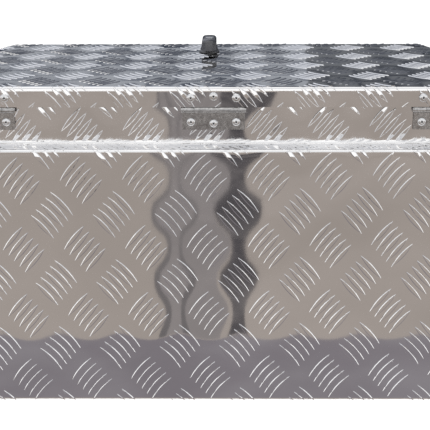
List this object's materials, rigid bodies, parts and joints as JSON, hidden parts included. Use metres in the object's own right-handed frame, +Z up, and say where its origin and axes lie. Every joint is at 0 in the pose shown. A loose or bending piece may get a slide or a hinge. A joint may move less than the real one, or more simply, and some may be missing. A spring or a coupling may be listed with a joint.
{
  "type": "drawbar tool box",
  "caption": "Tapered aluminium tread-plate drawbar tool box with an overhanging hinged lid, a stepped hinge side, a turn-handle latch and gas struts.",
  "frame": {"origin": "middle of the box's footprint, on the surface it stands on", "axes": "+Z up; +X along the box's width; the hinge side faces -Y and the latch side +Y"},
  "size_m": [0.6416, 0.3252, 0.3245],
  "materials": {
    "tread_plate": "bright rolled five-bar tread plate, folded, light scuffs",
    "hinge_steel": "satin stainless",
    "rivet": "bright blind rivet",
    "black_handle": "semi-gloss black powder coat",
    "zinc_steel": "zinc plated",
    "lock_brass": "chromed key plug",
    "seal_rubber": "closed-cell foam rubber",
    "strut_black": "gloss black tube",
    "rod_chrome": "hard chromed rod",
    "guide_plastic": "moulded guide"
  },
  "bodies": {
    "box": {"rear_wall": "tread_plate", "front_wall": "tread_plate", "floor_panel": "tread_plate", "rim_seal": "seal_rubber", "left_side_wall": "tread_plate", "right_side_wall": "tread_plate", "left_lower_leaf": "hinge_steel", "centre_lower_leaf": "hinge_steel", "right_lower_leaf": "hinge_steel", "left_hinge_pin": "hinge_steel", "centre_hinge_pin": "hinge_steel", "right_hinge_pin": "hinge_steel", "body_hinge_rivets": "rivet", "strike": "zinc_steel", "strike_rivets": "rivet", "left_base_bracket": "zinc_steel", "right_base_bracket": "zinc_steel", "left_base_stud": "zinc_steel", "right_base_stud": "zinc_steel"},
    "lid": {"lid_panel": "tread_plate", "rear_lid_stiffener": "zinc_steel", "front_lid_stiffener": "zinc_steel", "left_upper_leaf": "hinge_steel", "centre_upper_leaf": "hinge_steel", "right_upper_leaf": "hinge_steel", "lid_hinge_rivets": "rivet", "latch_housing": "black_handle", "latch_gasket": "seal_rubber", "latch_nut": "zinc_steel", "left_lid_bracket": "zinc_steel", "right_lid_bracket": "zinc_steel"},
    "latch": {"turn_handle": "black_handle", "latch_spindle": "zinc_steel", "latch_cam": "zinc_steel", "cam_nut": "zinc_steel"},
    "lock": {"lock_cylinder": "lock_brass"},
    "left_strut_tube": {"left_strut_tube": "strut_black", "left_strut_gland": "guide_plastic"},
    "left_strut_rod": {"left_strut_rod": "rod_chrome", "left_lid_stud": "zinc_steel"},
    "right_strut_tube": {"right_strut_tube": "strut_black", "right_strut_gland": "guide_plastic"},
    "right_strut_rod": {"right_strut_rod": "rod_chrome", "right_lid_stud": "zinc_steel"}
  },
  "joints": [
    {"name": "lid_hinge", "type": "hinge", "parent": "box", "child": "lid", "pos_m": [0, -0.13745, 0.2847], "axis": [1, 0, 0], "range_deg": [0, 90]},
    {"name": "latch_turn", "type": "hinge", "parent": "lid", "child": "latch", "pos_m": [-0.007, 0.08555, 0.3074], "axis": [0, 0, 1], "range_deg": [0, 90]},
    {"name": "lock_turn", "type": "hinge", "parent": "latch", "child": "lock", "pos_m": [-0.007, 0.08555, 0.3214], "axis": [0, 0, 1], "range_deg": [0, 90]},
    {"name": "left_strut_swing", "type": "hinge", "parent": "box", "child": "left_strut_tube", "pos_m": [-0.24417, 0.05255, 0.1647], "axis": [1, 0, 0], "range_deg": [0, 1.92]},
    {"name": "left_strut_slide", "type": "slide", "parent": "left_strut_tube", "child": "left_strut_rod", "axis": [0, -0.6925, 0.7214], "range_m": [0, 0.09908]},
    {"name": "right_strut_swing", "type": "hinge", "parent": "box", "child": "right_strut_tube", "pos_m": [0.24417, 0.05255, 0.1647], "axis": [1, 0, 0], "range_deg": [0, 1.92]},
    {"name": "right_strut_slide", "type": "slide", "parent": "right_strut_tube", "child": "right_strut_rod", "axis": [0, -0.6925, 0.7214], "range_m": [0, 0.09908]}
  ],
  "couplings": [
    {"joint": "left_strut_swing", "follows": "lid_hinge", "ratio": 0.021258},
    {"joint": "left_strut_slide", "follows": "lid_hinge", "m_per_rad": 0.063014},
    {"joint": "right_strut_swing", "follows": "lid_hinge", "ratio": 0.021258},
    {"joint": "right_strut_slide", "follows": "lid_hinge", "m_per_rad": 0.063014}
  ]
}
